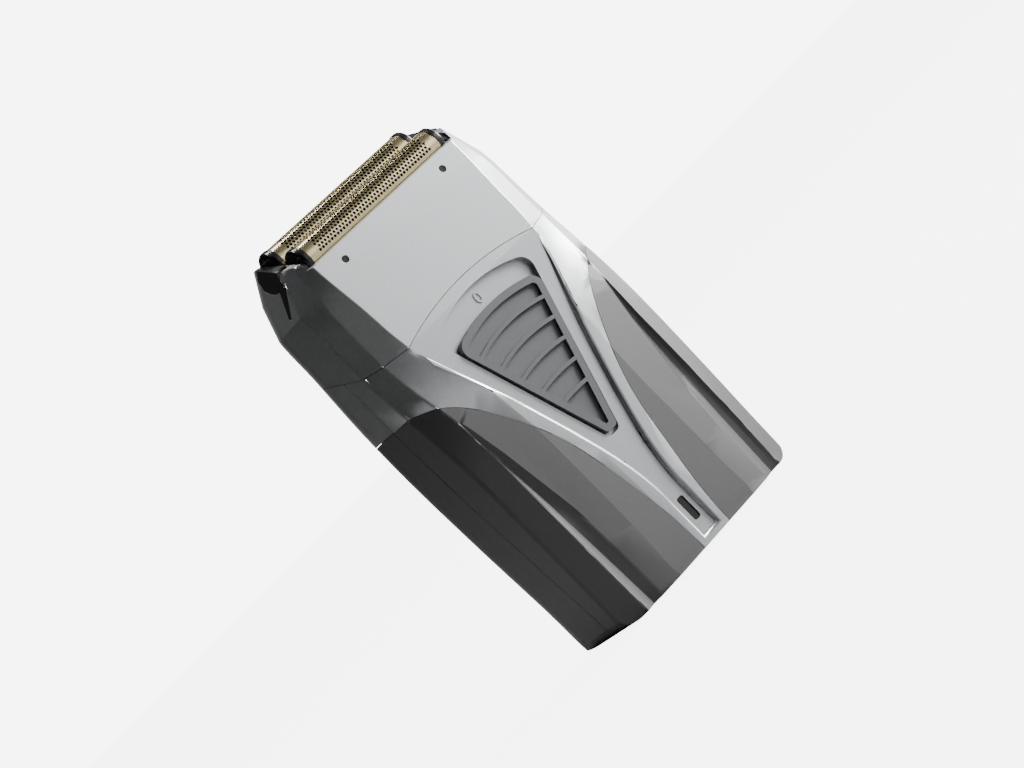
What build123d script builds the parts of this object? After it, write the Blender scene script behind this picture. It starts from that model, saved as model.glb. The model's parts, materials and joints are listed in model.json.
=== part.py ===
"""Cordless twin-foil shaver, standing upright on its base, in millimetres.

Frame: +Z runs from the base to the foils, the front with the thumb switch faces -Y,
and the origin is the middle of the base. Every piece is built where it sits in the shaver.
"""

import math
import os

from build123d import *

os.makedirs("parts", exist_ok=True)

# ---- driving dimensions of the outer form ----
# Each station is a horizontal section: height, then (x, y) of the panel edge, of the bevel crease
# and of the side corner, then the half width of the side and the depth of the back.
BODY_STATIONS = [
    (0, (14.0, -15.4), (25.6, -14.2), (31.0, -11.0), 31.2, 13.2),
    (10, (14.0, -15.45), (25.75, -14.35), (31.15, -11.3), 31.4, 13.6),
    (20, (14.0, -15.5), (25.9, -14.5), (31.3, -11.6), 31.6, 14.1),
    (30, (14.0, -15.5), (25.95, -14.57), (31.45, -11.85), 31.8, 14.8),
    (40, (14.0, -15.5), (26.0, -14.6), (31.6, -12.0), 32.0, 15.3),
    (48, (14.4, -15.45), (26.1, -14.6), (31.8, -11.8), 32.2, 15.5),
    (56, (15.4, -15.35), (26.5, -14.4), (32.05, -11.05), 32.32, 15.55),
    (64, (18.0, -15.0), (27.4, -13.4), (32.2, -9.9), 32.4, 15.4),
    (72, (21.0, -14.6), (28.2, -12.15), (32.25, -8.6), 32.42, 15.0),
    (80, (22.7, -14.2), (28.45, -11.4), (32.1, -7.75), 32.3, 14.4),
    (88, (23.1, -13.7), (28.4, -11.2), (31.9, -7.4), 32.1, 14.0),
    (97, (23.8, -13.0), (27.6, -10.9), (31.6, -6.7), 31.8, 14.0),
]
CROWN_STATIONS = [
    BODY_STATIONS[-1],
    (105, (24.3, -12.3), (26.4, -9.9), (28.8, -6.8), 29.0, 13.6),
    (112, (24.7, -11.7), (25.3, -9.2), (26.0, -6.9), 26.2, 10.0),
]
panel_edge_radius = 0.8
bevel_radius = 1.6
side_corner_radius = 1.4
back_corner_radius = 8.0
base_back_radius = 7.5
base_side_radius = 4.5

grip_thickness = 1.6
wall_thickness = 2.8
head_wall = 2.0
part_gap = 0.15

# ---- seam between the head and the handle ----
seam_height = 76.2
seam_front = -14.5
seam_tilt = 17.0
seam_arch_half_width = 22.1
seam_arch_rise = 3.0

# ---- head: foils lie in a plane that rises towards the back ----
head_tilt = 24.0
head_origin = (0, -2.83, 107.13)
foil_pitch = 10.0
foil_radius = 4.1
foil_thickness = 0.12
foil_half_length = 22.2
foil_skirt = 3.6
foil_float = 1.2
cap_end = 23.8
rail_thickness = 0.45
panel_top = 102.8
shoulder_inner = 25.1
cassette_window_half = 9.75
cassette_half_depth = 10.4
nub_x = 17.0
nub_z = 99.4
nub_radius = 0.8

# ---- cutters and drive ----
blade_radius = 3.9
blade_count = 29
blade_pitch = 1.4
blade_thickness = 0.35
cutter_half_length = 20.2
drive_stroke = 1.2
drive_y = 3.0

# ---- switch ----
switch_travel = 3.5
channel_floor = -14.4
recess_floor = -13.0
pad_inner = -11.6
# half width and height of the top corners, height of the arch's top, and half width and height of the tip
recess_shape = (16.4, 72.6, 76.5, 1.9, 31.6)
button_shape = (14.5, 68.3, 70.9, 1.6, 32.6)
button_back = -13.32
button_face = -15.1
button_panel = -14.25
button_rim = 1.7
rib_heights = (65.2, 60.0, 54.8, 49.6, 44.4)
rib_width = 0.9
rib_curve = 41.0
stem_half_width = 3.0
stem_low = 52.0
stem_high = 58.0
stem_end = -11.9
knob_half_width = 1.2
knob_low = 53.8
knob_high = 56.2
light_half_width = 1.05
light_low = 5.4
light_high = 11.7

# ---- grips, parting line ----
grip_top = 65.4
parting_points = [(-6.2, -5), (-4.2, 18), (-2.0, 42), (-1.0, 72), (0.9, 100), (2.0, 116)]

# ---- motor, cell, board ----
motor_radius = 9.3
cell_radius = 8.5
cell_length = 50.0
cell_y = 1.8
cell_z = 28.0
board_front = -9.8
board_thickness = 1.6
inlet_radius = 4.2
socket_radius = 2.8
charge_pin_radius = 1.0
screw_posts = [(-23.5, 10.5), (23.5, 10.5), (-25.0, 69.5), (25.0, 69.5)]

tilt_cos = math.cos(math.radians(head_tilt))
tilt_sin = math.sin(math.radians(head_tilt))
# head_top lies in the foil plane, head_side is its side view and head_end is its end view.
head_top = Plane(origin=head_origin, x_dir=(1, 0, 0), z_dir=(0, -tilt_sin, tilt_cos))
head_side = Plane(origin=head_origin, x_dir=(0, tilt_cos, tilt_sin), z_dir=(1, 0, 0))
head_end = Plane(origin=head_origin, x_dir=(1, 0, 0), z_dir=(0, -tilt_cos, -tilt_sin))
seam_cos = math.cos(math.radians(seam_tilt))
seam_sin = math.sin(math.radians(seam_tilt))
seam_view = Plane(
    origin=(0, seam_front, seam_height),
    x_dir=(1, 0, 0),
    z_dir=(0, -seam_cos, -seam_sin),
)
seam_top = Plane(
    origin=(0, seam_front, seam_height), x_dir=(1, 0, 0), z_dir=(0, -seam_sin, seam_cos)
)


def section_outline(station, inset):
    """One horizontal section of the outer form, moved inwards by inset, as a flat face."""
    height, panel, bevel, corner, side, back = station
    right = [
        (panel[0] - 0.2 * inset, panel[1] + inset),
        (bevel[0] - 0.5 * inset, bevel[1] + 0.9 * inset),
        (corner[0] - inset, corner[1] + 0.6 * inset),
        (side - inset, back - inset),
    ]
    left = [(-x, y) for x, y in reversed(right)]
    back_radius = back_corner_radius - 0.8 * inset
    radii = [panel_edge_radius, bevel_radius, side_corner_radius, back_radius]
    with BuildSketch() as section:
        with BuildLine():
            FilletPolyline(right + left, radius=radii + radii[::-1], close=True)
        make_face()
    return section.sketch


def outer_form(inset):
    """The whole shaver's outer form, moved inwards by inset, up to above the foils."""
    with BuildPart() as form:
        for station in BODY_STATIONS:
            with BuildSketch(Plane.XY.offset(station[0])):
                add(section_outline(station, inset))
        loft()
        for station in CROWN_STATIONS:
            with BuildSketch(Plane.XY.offset(station[0])):
                add(section_outline(station, inset))
        loft(ruled=True)
        with BuildSketch(Plane.YZ):
            with BuildLine():
                FilletPolyline(
                    (-30, inset),
                    (13.6 - inset, inset),
                    (17.2 - inset, 50),
                    (30, 130),
                    (-30, 130),
                    radius=[1.0 - 0.3 * inset, base_back_radius - inset, 5, 0, 0],
                    close=True,
                )
            make_face()
        extrude(amount=40, both=True, mode=Mode.INTERSECT)
        with BuildSketch(Plane.XZ):
            with BuildLine():
                FilletPolyline(
                    (-31.3 + inset, inset),
                    (31.3 - inset, inset),
                    (33.2 - inset, 60),
                    (33.2 - inset, 130),
                    (-33.2 + inset, 130),
                    (-33.2 + inset, 60),
                    radius=[base_side_radius - inset] * 2 + [0] * 4,
                    close=True,
                )
            make_face()
        extrude(amount=40, both=True, mode=Mode.INTERSECT)
    return form.part


def handle_zone(drop):
    """Everything below the seam, lowered by drop."""
    with BuildPart() as zone:
        with BuildSketch(seam_view):
            with BuildLine():
                ThreePointArc(
                    (-seam_arch_half_width, -drop),
                    (0, seam_arch_rise - drop),
                    (seam_arch_half_width, -drop),
                )
                Polyline(
                    (seam_arch_half_width, -drop),
                    (50, -drop),
                    (50, -120),
                    (-50, -120),
                    (-50, -drop),
                    (-seam_arch_half_width, -drop),
                )
            make_face()
        extrude(amount=60, both=True)
    return zone.part


def front_zone(gap):
    """Everything in front of the parting line between the two handle shells."""
    with BuildPart() as zone:
        with BuildSketch(Plane.YZ):
            with BuildLine():
                line = Spline([(y - gap, z) for y, z in parting_points])
                Polyline(line @ 1, (-40, 116), (-40, -5), line @ 0)
            make_face()
        extrude(amount=50, both=True)
    return zone.part


def grip_zone(grow):
    """Right-hand area that the front grip covers, seen from the front, made bigger by grow."""
    with BuildPart() as zone:
        with BuildSketch(Plane.XZ.offset(-40)):
            with BuildLine():
                curve = Spline(
                    (5.0 - grow, -6),
                    (5.4 - grow, 10),
                    (7.6 - grow, 23.5),
                    (11.1 - grow, 37.9 + 0.4 * grow),
                    (17.3 - grow, 50.6 + 0.8 * grow),
                    (25.5, 61.2 + grow),
                    (33.0, grip_top + grow),
                )
                Polyline(curve @ 1, (45, grip_top + grow), (45, -6), curve @ 0)
            make_face()
        extrude(amount=80)
    return zone.part


def rear_grip_zone(grow):
    """Everything below the top edge of the rear grip."""
    with BuildPart() as zone:
        with Locations((0, 0, (grip_top + grow) / 2 - 5)):
            Box(90, 90, grip_top + grow + 10)
    return zone.part


def foil_outline(radius, bottom):
    """Upside-down U of a foil arch, as a flat face centred on the arch's axis."""
    with BuildSketch() as outline:
        with BuildLine():
            Line((-radius, bottom), (-radius, 0))
            ThreePointArc((-radius, 0), (0, radius), (radius, 0))
            Polyline((radius, 0), (radius, bottom), (-radius, bottom))
        make_face()
    return outline.sketch


def head_side_at(along, across=0.0):
    """head_side plane moved along X by along and towards the back by across."""
    return Plane(
        origin=head_side.from_local_coords((across, 0, along)),
        x_dir=head_side.x_dir,
        z_dir=head_side.z_dir,
    )


def finish(builder, name):
    """Labels the piece and writes its STEP file."""
    builder.part.label = name
    export_step(builder.part, f"parts/{name}.step")


outer = outer_form(0)
under_grip = outer_form(grip_thickness)
hollow = outer_form(wall_thickness)
head_hollow = outer_form(head_wall)
below_seam = handle_zone(0)
below_seam_lowered = handle_zone(part_gap)
front_side = front_zone(0)
front_side_grown = front_zone(-part_gap)
grip_right_zone = grip_zone(0)
rear_grip_area = rear_grip_zone(0)
with BuildPart() as right_pocket:
    add(grip_zone(part_gap))
    add(under_grip, mode=Mode.SUBTRACT)
grip_right_pocket = right_pocket.part
with BuildPart() as left_pocket:
    add(mirror(grip_right_pocket, about=Plane.YZ, mode=Mode.PRIVATE))
grip_left_pocket = left_pocket.part
with BuildPart() as rear_pocket:
    add(rear_grip_zone(part_gap))
    add(under_grip, mode=Mode.SUBTRACT)
rear_grip_pocket = rear_pocket.part


def switch_outline(shape, top_radius, tip_radius):
    """Triangle with an arched top and rounded corners, seen from the front, as a flat face."""
    corner_x, corner_z, arch_z, tip_x, tip_z = shape
    with BuildSketch() as outline:
        with BuildLine():
            ThreePointArc((-corner_x, corner_z), (0, arch_z), (corner_x, corner_z))
            Polyline(
                (corner_x, corner_z), (tip_x, tip_z), (-tip_x, tip_z), (-corner_x, corner_z)
            )
        make_face()
        fillet(outline.vertices().sort_by(Axis.Y)[-2:], top_radius)
        fillet(outline.vertices().sort_by(Axis.Y)[:2], tip_radius)
    return outline.sketch


# ---- front_shell: silver front half with the Y channel, switch recess and light slot ----
with BuildPart() as front_shell:
    add(outer)
    add(front_side, mode=Mode.INTERSECT)
    add(below_seam_lowered, mode=Mode.INTERSECT)
    add(hollow, mode=Mode.SUBTRACT)
    add(grip_right_pocket, mode=Mode.SUBTRACT)
    add(grip_left_pocket, mode=Mode.SUBTRACT)
    # pad behind the switch recess
    with BuildSketch(Plane.XZ.offset(-pad_inner)):
        add(switch_outline((17.6, 73.0, 77.0, 3.0, 30.4), 2.2, 1.5))
    extrude(amount=2.0)
    add(below_seam_lowered, mode=Mode.INTERSECT)
    # posts that take the case screws
    with BuildSketch(Plane.XZ.offset(-7.5)):
        with Locations(screw_posts):
            Circle(2.7)
    extrude(amount=19.0)
    with BuildSketch(Plane.XZ.offset(-7.5)):
        with Locations(screw_posts):
            Circle(1.1)
    extrude(amount=12.0, mode=Mode.SUBTRACT)
    # Y-shaped channel down the front
    with BuildSketch(Plane.XZ.offset(-channel_floor)):
        with BuildLine():
            right_wall = Spline((25.6, 82), (15.7, 60.4), (6.8, 36), (2.8, 19.8), (2.35, 12))
            Polyline(right_wall @ 1, (2.35, 2.2), (-2.35, 2.2), (-2.35, 12))
            mirror(right_wall, about=Plane.YZ)
            Line((-25.6, 82), (25.6, 82))
        make_face()
    extrude(amount=6, mode=Mode.SUBTRACT)
    # switch recess with its 0 mark, and the slot for the button's stem
    with BuildSketch(Plane.XZ.offset(-recess_floor)):
        add(switch_outline(recess_shape, 3.2, 1.6))
    extrude(amount=6, mode=Mode.SUBTRACT)
    with BuildSketch(Plane.XZ.offset(-recess_floor - 0.1)):
        with Locations((0, 73.6)):
            Ellipse(0.95, 1.45)
            Ellipse(0.5, 1.0, mode=Mode.SUBTRACT)
    extrude(amount=0.3)
    with BuildSketch(Plane.XZ.offset(-pad_inner - 1)):
        with Locations((0, (stem_low + stem_high + switch_travel) / 2)):
            Rectangle(2 * stem_half_width + 0.6, stem_high - stem_low + switch_travel + 0.6)
    extrude(amount=4, mode=Mode.SUBTRACT)
    # slot of the charge light
    with BuildSketch(Plane.XZ.offset(11)):
        with Locations((0, (light_low + light_high) / 2)):
            RectangleRounded(2 * light_half_width, light_high - light_low, 0.6)
    extrude(amount=5, mode=Mode.SUBTRACT)
finish(front_shell, "front_shell")

# ---- soft grips let into the front shell, each with a thumb scoop and its lip ----
# Each section: height, inner crease, lip, and the scoop's greatest depth.
scoop_sections = [
    (-1, 19.0, 25.5, 1.2),
    (27, 21.0, 25.9, 1.2),
    (46, 23.8, 26.1, 1.0),
    (57.5, 26.0, 26.6, 0.15),
]
# Shares of the scoop's width and depth, from its inner crease to the lip.
scoop_profile = [(0, 0), (0.25, 0.5), (0.55, 1.0), (0.8, 0.65), (1.0, 0.08)]
with BuildPart() as scoop:
    for height, inner_x, lip_x, depth in scoop_sections:
        width = lip_x - inner_x
        floor = [
            (inner_x + across * width, -15.1 + 0.09 * (inner_x + across * width - 19) + down * depth)
            for across, down in scoop_profile
        ]
        with BuildSketch(Plane.XY.offset(height)):
            with BuildLine():
                Polyline((inner_x, -18), *floor, (lip_x, -18), (inner_x, -18))
            make_face()
    loft(ruled=True)
with BuildPart() as grip_right:
    add(outer)
    add(grip_right_zone, mode=Mode.INTERSECT)
    add(front_side, mode=Mode.INTERSECT)
    add(under_grip, mode=Mode.SUBTRACT)
    add(scoop.part, mode=Mode.SUBTRACT)
finish(grip_right, "grip_right")
with BuildPart() as grip_left:
    add(mirror(grip_right.part, about=Plane.YZ, mode=Mode.PRIVATE))
finish(grip_left, "grip_left")

# ---- rear_shell: silver at the top, a thin wall under the rear grip below ----
with BuildPart() as rear_shell:
    add(outer)
    add(below_seam_lowered, mode=Mode.INTERSECT)
    add(front_side_grown, mode=Mode.SUBTRACT)
    add(hollow, mode=Mode.SUBTRACT)
    # tubes that guide the case screws to the posts
    with BuildSketch(Plane.XZ.offset(-7.7)):
        with Locations(screw_posts):
            Circle(3.4)
    extrude(amount=-3.6)
    add(rear_grip_pocket, mode=Mode.SUBTRACT)
    with BuildSketch(Plane.XZ.offset(-7)):
        with Locations(screw_posts):
            Circle(1.2)
    extrude(amount=-15, mode=Mode.SUBTRACT)
    with BuildSketch(Plane.XZ.offset(-9.6)):
        with Locations(screw_posts):
            Circle(2.3)
    extrude(amount=-10, mode=Mode.SUBTRACT)
    with BuildSketch(Plane.XY.offset(-1)):
        with Locations((0, drive_y)):
            Circle(inlet_radius + 1.2)
    extrude(amount=5, mode=Mode.SUBTRACT)
finish(rear_shell, "rear_shell")

with BuildPart() as rear_grip:
    add(outer)
    add(rear_grip_area, mode=Mode.INTERSECT)
    add(front_side_grown, mode=Mode.SUBTRACT)
    add(under_grip, mode=Mode.SUBTRACT)
    with BuildSketch(Plane.XZ.offset(-9.6)):
        with Locations(screw_posts[:2]):
            Circle(2.3)
    extrude(amount=-10, mode=Mode.SUBTRACT)
    with BuildSketch(Plane.XY.offset(-1)):
        with Locations((0, drive_y)):
            Circle(inlet_radius + 1.2)
    extrude(amount=5, mode=Mode.SUBTRACT)
finish(rear_grip, "rear_grip")

with BuildPart() as case_screws:
    with BuildSketch(Plane.XZ.offset(-9.6)):
        with Locations(screw_posts):
            Circle(2.1)
    extrude(amount=-1.5)
    with BuildSketch(Plane.XZ.offset(-11.1)):
        with Locations(screw_posts):
            Rectangle(2.4, 0.6)
            Rectangle(0.6, 2.4)
    extrude(amount=0.9, mode=Mode.SUBTRACT)
    with BuildSketch(Plane.XZ.offset(-9.6)):
        with Locations(screw_posts):
            Circle(1.1)
    extrude(amount=12)
finish(case_screws, "case_screws")

# ---- thumb slide with its raised rim and five curved ribs ----
with BuildSketch() as ribs:
    for height in rib_heights:
        with Locations((0, height - rib_curve)):
            Circle(rib_curve + rib_width / 2)
            Circle(rib_curve - rib_width / 2, mode=Mode.SUBTRACT)
with BuildPart() as switch_button:
    with BuildSketch(Plane.XZ.offset(-button_back)):
        add(switch_outline(button_shape, 2.8, 1.3))
    extrude(amount=button_back - button_face)
    with BuildSketch(Plane.XZ.offset(-button_panel)):
        add(switch_outline(button_shape, 2.8, 1.3))
        offset(amount=-button_rim, mode=Mode.REPLACE)
        add(ribs.sketch, mode=Mode.SUBTRACT)
    extrude(amount=2, mode=Mode.SUBTRACT)
    # hollow stem that reaches through the recess floor to the switch's knob
    with BuildSketch(Plane.XZ.offset(-stem_end)):
        with Locations((0, (stem_low + stem_high) / 2)):
            Rectangle(2 * stem_half_width, stem_high - stem_low)
    extrude(amount=stem_end - button_back)
    with BuildSketch(Plane.XZ.offset(-stem_end)):
        with Locations((0, (knob_low + knob_high) / 2)):
            Rectangle(2 * knob_half_width + 0.1, knob_high - knob_low + 0.1)
    extrude(amount=1.2, mode=Mode.SUBTRACT)
finish(switch_button, "switch_button")

# ---- electrical switch, board and light behind the thumb slide ----
with BuildPart() as switch_knob:
    with Locations((0, -11.75, (knob_low + knob_high) / 2)):
        Box(2 * knob_half_width, 2.3, knob_high - knob_low)
finish(switch_knob, "switch_knob")

with BuildPart() as switch_housing:
    with Locations((0, -10.55, 56.5)):
        Box(10, 1.5, 15)
    with Locations((0, -11.05, (knob_low + knob_high + switch_travel) / 2)):
        Box(
            2 * knob_half_width + 0.6,
            1.3,
            knob_high - knob_low + switch_travel + 0.6,
            mode=Mode.SUBTRACT,
        )
finish(switch_housing, "switch_housing")

board_low = 5.5
board_high = 64.5
board_half_width = 15.5
board_screw_spots = [(-14.45, 18.0), (14.45, 18.0), (-14.45, 60.0), (14.45, 60.0)]
with BuildPart() as circuit_board:
    with BuildSketch(Plane.XZ.offset(-board_front - board_thickness)):
        with Locations((0, (board_low + board_high) / 2)):
            RectangleRounded(2 * board_half_width, board_high - board_low, 1.5)
        with Locations(board_screw_spots):
            Circle(0.8, mode=Mode.SUBTRACT)
    extrude(amount=board_thickness)
finish(circuit_board, "circuit_board")

# charging chip, motor driver, inductor, two capacitors: x, z, width, height, thickness
board_chips = [
    (-7.5, 22.0, 6.0, 6.0, 1.2),
    (7.0, 30.0, 5.0, 4.0, 1.1),
    (-6.5, 34.0, 6.0, 6.0, 1.6),
    (7.5, 18.0, 3.2, 1.6, 1.0),
    (7.5, 22.0, 3.2, 1.6, 1.0),
]
with BuildPart() as board_components:
    for x, z, width, height, thick in board_chips:
        with Locations((x, board_front - thick / 2, z)):
            Box(width, thick, height)
finish(board_components, "board_components")

with BuildPart() as board_screws:
    with BuildSketch(Plane.XZ.offset(-board_front)):
        with Locations(board_screw_spots):
            Circle(1.35)
    extrude(amount=0.8)
    with BuildSketch(Plane.XZ.offset(-board_front)):
        with Locations(board_screw_spots):
            Circle(0.8)
    extrude(amount=-4.8)
finish(board_screws, "board_screws")

with BuildPart() as charge_led:
    with Locations((0, board_front - 0.6, 8.5)):
        Box(1.6, 1.2, 3.2)
finish(charge_led, "charge_led")

with BuildPart() as charge_light_lens:
    with BuildSketch(Plane.XZ.offset(11.4)):
        with Locations((0, (light_low + light_high) / 2)):
            RectangleRounded(2 * light_half_width, light_high - light_low, 0.6)
    extrude(amount=2.6)
finish(charge_light_lens, "charge_light_lens")

# ---- charging inlet in the base ----
with BuildPart() as inlet_collar:
    with BuildSketch():
        with Locations((0, drive_y)):
            Circle(inlet_radius + 1.2)
            Circle(inlet_radius, mode=Mode.SUBTRACT)
    extrude(amount=3.4)
    rims = inlet_collar.edges().filter_by(GeomType.CIRCLE).group_by(Axis.Z)[0]
    chamfer(rims.sort_by(SortBy.RADIUS)[:1], 0.3)
finish(inlet_collar, "inlet_collar")

with BuildPart() as charge_jack:
    with Locations((0, drive_y, 8.1)):
        Box(11, 9, 9.4)
    with BuildSketch(Plane.XY.offset(3.4)):
        with Locations((0, drive_y)):
            Circle(socket_radius)
    extrude(amount=8.0, mode=Mode.SUBTRACT)
    with BuildSketch(Plane.XY.offset(3.4)):
        with Locations((0, drive_y)):
            Circle(charge_pin_radius)
    extrude(amount=10, mode=Mode.SUBTRACT)
finish(charge_jack, "charge_jack")

with BuildPart() as charge_pin:
    with BuildSketch(Plane.XY.offset(4.6)):
        with Locations((0, drive_y)):
            Circle(charge_pin_radius)
    extrude(amount=8.6)
    fillet(charge_pin.edges().group_by(Axis.Z)[0], 0.5)
finish(charge_pin, "charge_pin")

# ---- cell and its contacts ----
with BuildPart() as battery_cell:
    with BuildSketch(Plane.YZ.offset(-cell_length / 2)):
        with Locations((cell_y, cell_z)):
            Circle(cell_radius)
    extrude(amount=cell_length - 1)
    fillet(battery_cell.edges().filter_by(GeomType.CIRCLE), 0.6)
    with BuildSketch(Plane.YZ.offset(cell_length / 2 - 1)):
        with Locations((cell_y, cell_z)):
            Circle(2.8)
    extrude(amount=1)
finish(battery_cell, "battery_cell")

with BuildPart() as battery_contacts:
    for x in (-cell_length / 2 - 0.5, cell_length / 2):
        with BuildSketch(Plane.YZ.offset(x)):
            with Locations((cell_y, cell_z)):
                RectangleRounded(9, 12, 1)
        extrude(amount=0.5)
finish(battery_contacts, "battery_contacts")

# ---- chassis: motor plate on two legs over a cell tray with end cheeks ----
motor_low = 44.5
motor_high = 68.0
plate_top = 70.0
tray_low = 16.8
leg_inner = 13.2
leg_outer = 15.7
leg_front = -8.1
leg_back = 10.8
motor_screw_x = 6.5
with BuildPart() as chassis:
    with BuildSketch(Plane.XY.offset(motor_high)):
        with Locations((0, 1.9)):
            RectangleRounded(39, 20, 2)
        with Locations((0, drive_y)):
            Circle(3.1, mode=Mode.SUBTRACT)
        with Locations((-motor_screw_x, drive_y), (motor_screw_x, drive_y)):
            Circle(1.0, mode=Mode.SUBTRACT)
    extrude(amount=plate_top - motor_high)
    for x in (-leg_outer, leg_inner):
        with BuildSketch(Plane.YZ.offset(x)):
            with Locations(((leg_front + leg_back) / 2, (tray_low + motor_high) / 2)):
                Rectangle(leg_back - leg_front, motor_high - tray_low)
            with Locations((cell_y, cell_z)):
                Circle(cell_radius + 0.2, mode=Mode.SUBTRACT)
        extrude(amount=leg_outer - leg_inner)
    with BuildSketch(Plane.XY.offset(tray_low)):
        with Locations((0, 1.5)):
            RectangleRounded(54, 14, 1)
    extrude(amount=2.0)
    for x in (-27.0, 25.5):
        with BuildSketch(Plane.YZ.offset(x)):
            with Locations((1.5, 27.4)):
                RectangleRounded(13, 21.2, 1)
        extrude(amount=1.5)
    with BuildSketch(Plane.XZ.offset(-leg_front + 0.1)):
        with Locations(board_screw_spots):
            Circle(0.8)
    extrude(amount=-3.3, mode=Mode.SUBTRACT)
finish(chassis, "chassis")

# ---- motor ----
with BuildPart() as motor_can:
    with BuildSketch(Plane.XY.offset(motor_low)):
        with Locations((0, drive_y)):
            Circle(motor_radius)
    extrude(amount=motor_high - motor_low)
    fillet(motor_can.edges().group_by(Axis.Z)[-1], 1.0)
    with BuildSketch(Plane.XY.offset(motor_high)):
        with Locations((0, drive_y)):
            Circle(3.0)
    extrude(amount=1.2)
    with BuildSketch(Plane.XY.offset(motor_low)):
        with Locations((0, drive_y)):
            Circle(motor_radius - 0.8)
    extrude(amount=motor_high - motor_low - 1.6, mode=Mode.SUBTRACT)
    with BuildSketch(Plane.XY.offset(motor_low)):
        with Locations((0, drive_y)):
            Circle(1.08)
        with Locations((-motor_screw_x, drive_y), (motor_screw_x, drive_y)):
            Circle(1.0)
    extrude(amount=30, mode=Mode.SUBTRACT)
finish(motor_can, "motor_can")

with BuildPart() as motor_magnets:
    with BuildSketch(Plane.XY.offset(motor_low + 2)):
        with Locations((0, drive_y)):
            Circle(motor_radius - 0.8)
            Circle(7.3, mode=Mode.SUBTRACT)
            Rectangle(6, 30, mode=Mode.SUBTRACT)
    extrude(amount=17)
finish(motor_magnets, "motor_magnets")

with BuildPart() as motor_end_bell:
    with BuildSketch(Plane.XY.offset(motor_low - 3)):
        with Locations((0, drive_y)):
            Circle(motor_radius - 0.4)
    extrude(amount=3)
    with BuildSketch(Plane.XY.offset(motor_low)):
        with Locations((0, drive_y)):
            Circle(motor_radius - 0.8)
            Circle(motor_radius - 2.2, mode=Mode.SUBTRACT)
    extrude(amount=1.2)
    with BuildSketch(Plane.XY.offset(motor_low - 4)):
        with Locations((0, drive_y)):
            Circle(3)
    extrude(amount=1)
    with BuildSketch(Plane.XY.offset(motor_low - 3)):
        with Locations((0, drive_y)):
            Circle(1.08)
    extrude(amount=4, mode=Mode.SUBTRACT)
finish(motor_end_bell, "motor_end_bell")

with BuildPart() as motor_terminals:
    for x in (-6.0, 6.0):
        with Locations((x, drive_y, motor_low - 4.4)):
            Box(2.0, 0.4, 2.8)
finish(motor_terminals, "motor_terminals")

with BuildPart() as motor_screws:
    with BuildSketch(Plane.XY.offset(plate_top)):
        with Locations((-motor_screw_x, drive_y), (motor_screw_x, drive_y)):
            Circle(1.9)
    extrude(amount=1.1)
    with BuildSketch(Plane.XY.offset(plate_top)):
        with Locations((-motor_screw_x, drive_y), (motor_screw_x, drive_y)):
            Circle(1.0)
    extrude(amount=-3.4)
finish(motor_screws, "motor_screws")

shaft_radius = 1.0
cam_low = 70.5
pin_low = 73.3
pin_high = 75.7
pin_radius = 1.1
with BuildPart() as motor_shaft:
    with BuildSketch(Plane.XY.offset(motor_low - 2.8)):
        with Locations((0, drive_y)):
            Circle(shaft_radius)
    extrude(amount=pin_low - motor_low + 2.4)
finish(motor_shaft, "motor_shaft")

with BuildPart() as armature:
    with BuildSketch(Plane.XY.offset(motor_low + 3)):
        with Locations((0, drive_y)):
            Circle(6.9)
            with PolarLocations(6.9, 3):
                Rectangle(3.0, 1.6, mode=Mode.SUBTRACT)
    extrude(amount=15)
    with BuildSketch(Plane.XY.offset(motor_low + 0.4)):
        with Locations((0, drive_y)):
            Circle(2.6)
    extrude(amount=2.6)
    with BuildSketch(Plane.XY.offset(motor_low)):
        with Locations((0, drive_y)):
            Circle(shaft_radius)
    extrude(amount=20, mode=Mode.SUBTRACT)
finish(armature, "armature")

with BuildPart() as eccentric_cam:
    with BuildSketch(Plane.XY.offset(cam_low)):
        with Locations((0, drive_y)):
            Circle(3.6)
    extrude(amount=pin_low - cam_low)
    with BuildSketch(Plane.XY.offset(pin_low)):
        with Locations((drive_stroke, drive_y)):
            Circle(pin_radius)
    extrude(amount=pin_high - pin_low)
    with BuildSketch(Plane.XY.offset(cam_low)):
        with Locations((0, drive_y)):
            Circle(shaft_radius)
    extrude(amount=pin_low - cam_low - 0.4, mode=Mode.SUBTRACT)
finish(eccentric_cam, "eccentric_cam")

# ---- oscillator: bridge over the eccentric, neck through the deck, two cutter posts ----
bridge_low = 73.9
bridge_top = 77.2
carrier_low = -11.8
carrier_top = -9.8
post_radius = 1.2
post_top = -4.6
cutter_spots = [(0, -foil_pitch / 2), (0, foil_pitch / 2)]
with BuildPart() as oscillator:
    with BuildSketch(Plane.XY.offset(bridge_low)):
        with Locations((0, drive_y)):
            RectangleRounded(18, 10, 2)
    extrude(amount=bridge_top - bridge_low)
    with BuildSketch(Plane.XY.offset(bridge_low)):
        with Locations((0, drive_y)):
            SlotOverall(8.0, 5.4)
    extrude(amount=2.2, mode=Mode.SUBTRACT)
    with BuildSketch(Plane.XY.offset(bridge_top)):
        with Locations((0, 2.75)):
            RectangleRounded(8, 4.5, 1)
    extrude(amount=25)
    with BuildSketch(head_top.offset((carrier_low + carrier_top) / 2)):
        Rectangle(60, 60)
    extrude(amount=30, mode=Mode.SUBTRACT)
    with BuildSketch(head_top.offset(carrier_low)):
        with Locations((0, -0.3)):
            RectangleRounded(16, 13.6, 2)
    extrude(amount=carrier_top - carrier_low)
    with BuildSketch(head_top.offset(carrier_top)):
        with Locations(cutter_spots):
            Circle(post_radius)
    extrude(amount=post_top - carrier_top)
finish(oscillator, "oscillator")


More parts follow.
